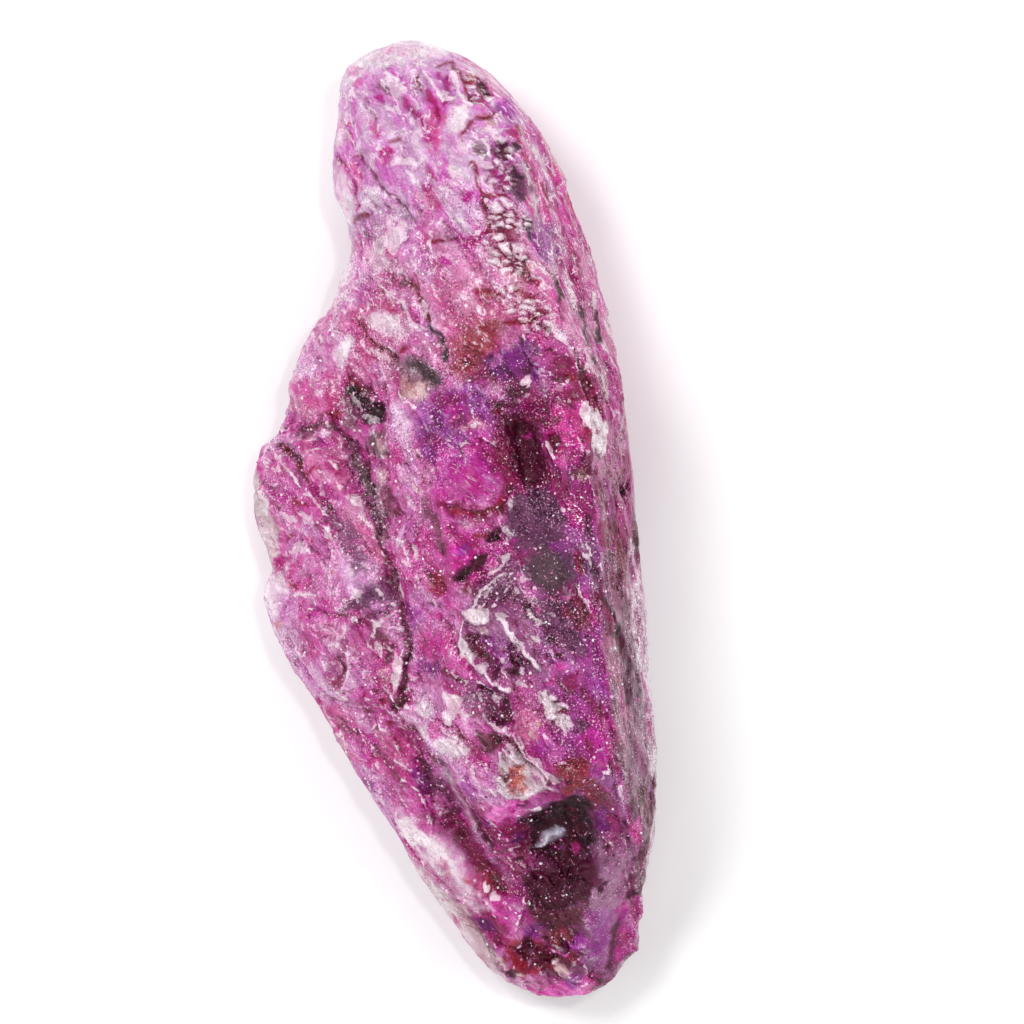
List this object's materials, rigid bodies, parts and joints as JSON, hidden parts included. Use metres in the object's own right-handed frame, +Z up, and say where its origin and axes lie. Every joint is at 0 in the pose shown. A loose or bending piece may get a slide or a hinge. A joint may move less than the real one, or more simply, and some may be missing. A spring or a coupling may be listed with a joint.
{
  "type": "rough sapphire",
  "caption": "Long rough pink-purple corundum crystal with a blunt pale head, a dark tapering tip, deep clefts and a flat resting side.",
  "frame": {"origin": "middle of the stone's bounding box, on the flat side it rests on", "axes": "+Y along the stone towards the blunt pale head, +Z up from the resting side, +X towards the steep flank"},
  "size_m": [0.0211, 0.052, 0.013],
  "materials": {
    "stone": "rough broken crystal with small glossy faces"
  },
  "bodies": {
    "root": {"rough_stone": "stone"}
  },
  "joints": []
}
